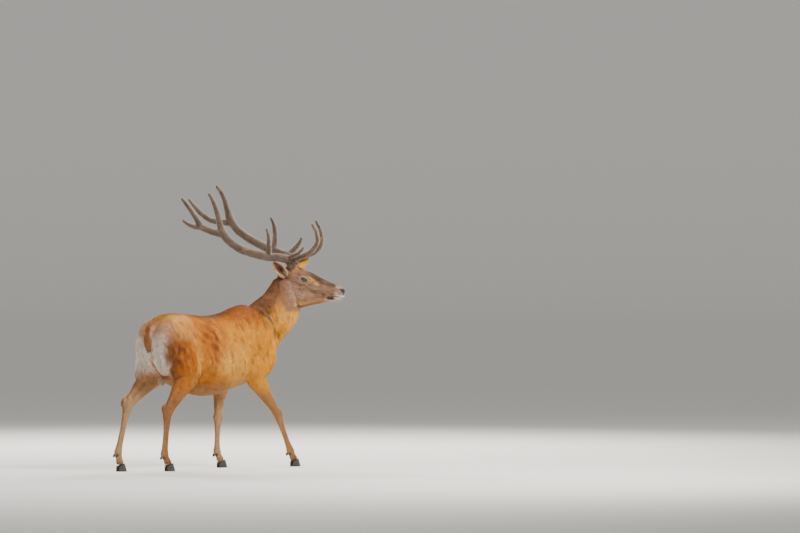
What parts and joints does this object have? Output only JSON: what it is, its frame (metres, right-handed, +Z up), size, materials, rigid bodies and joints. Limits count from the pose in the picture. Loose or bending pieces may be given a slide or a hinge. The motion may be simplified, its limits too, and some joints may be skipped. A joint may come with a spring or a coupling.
{
  "type": "red deer stag",
  "caption": "Life-size still model of a walking red deer stag in summer coat, antlers in velvet, head raised and turned to its right.",
  "frame": {"origin": "on the floor, under the middle of the whole animal's bounding box, antlers included", "axes": "+X the way the body walks, +Y the animal's left, +Z up"},
  "size_m": [1.8561, 1.1243, 2.0952],
  "materials": {
    "body_coat": "short summer hair lying flat, rufous with golden and darker patches, cream rump",
    "neck_coat": "hair, grey-brown above to gold below",
    "face_coat": "very short grey-brown hair, bare dark nose",
    "leg_coat": "short tan hair",
    "tail_coat": "rusty hair",
    "velvet": "furred skin over the growing antler",
    "claw_horn": "dark horn, satin",
    "eye": "wet and glossy"
  },
  "bodies": {
    "root": {"antler_left_beam_low": "velvet", "antler_left_beam_top": "velvet", "antler_left_bez": "velvet", "antler_left_brow": "velvet", "antler_left_crown_back": "velvet", "antler_left_trez": "velvet", "antler_right_beam_low": "velvet", "antler_right_beam_top": "velvet", "antler_right_bez": "velvet", "antler_right_brow": "velvet", "antler_right_crown_back": "velvet", "antler_right_crown_side": "velvet", "antler_right_trez": "velvet", "claw_fore_left_left": "claw_horn", "claw_fore_left_right": "claw_horn", "claw_fore_right_left": "claw_horn", "claw_fore_right_right": "claw_horn", "claw_hind_left_left": "claw_horn", "claw_hind_left_right": "claw_horn", "claw_hind_right_left": "claw_horn", "claw_hind_right_right": "claw_horn", "dewclaw_fore_left_left": "claw_horn", "dewclaw_fore_left_right": "claw_horn", "dewclaw_fore_right_left": "claw_horn", "dewclaw_fore_right_right": "claw_horn", "dewclaw_hind_left_left": "claw_horn", "dewclaw_hind_left_right": "claw_horn", "dewclaw_hind_right_left": "claw_horn", "dewclaw_hind_right_right": "claw_horn", "ear_left": "face_coat", "ear_right": "face_coat", "eye_left": "eye", "eye_right": "eye", "fore_left_cannon": "leg_coat", "fore_left_forearm": "leg_coat", "fore_left_pastern": "leg_coat", "fore_right_cannon": "leg_coat", "fore_right_forearm": "leg_coat", "fore_right_pastern": "leg_coat", "head": "face_coat", "hind_left_cannon": "leg_coat", "hind_left_pastern": "leg_coat", "hind_left_shank": "leg_coat", "hind_right_cannon": "leg_coat", "hind_right_pastern": "leg_coat", "hind_right_shank": "leg_coat", "neck": "neck_coat", "tail": "tail_coat", "trunk": "body_coat"}
  },
  "joints": []
}
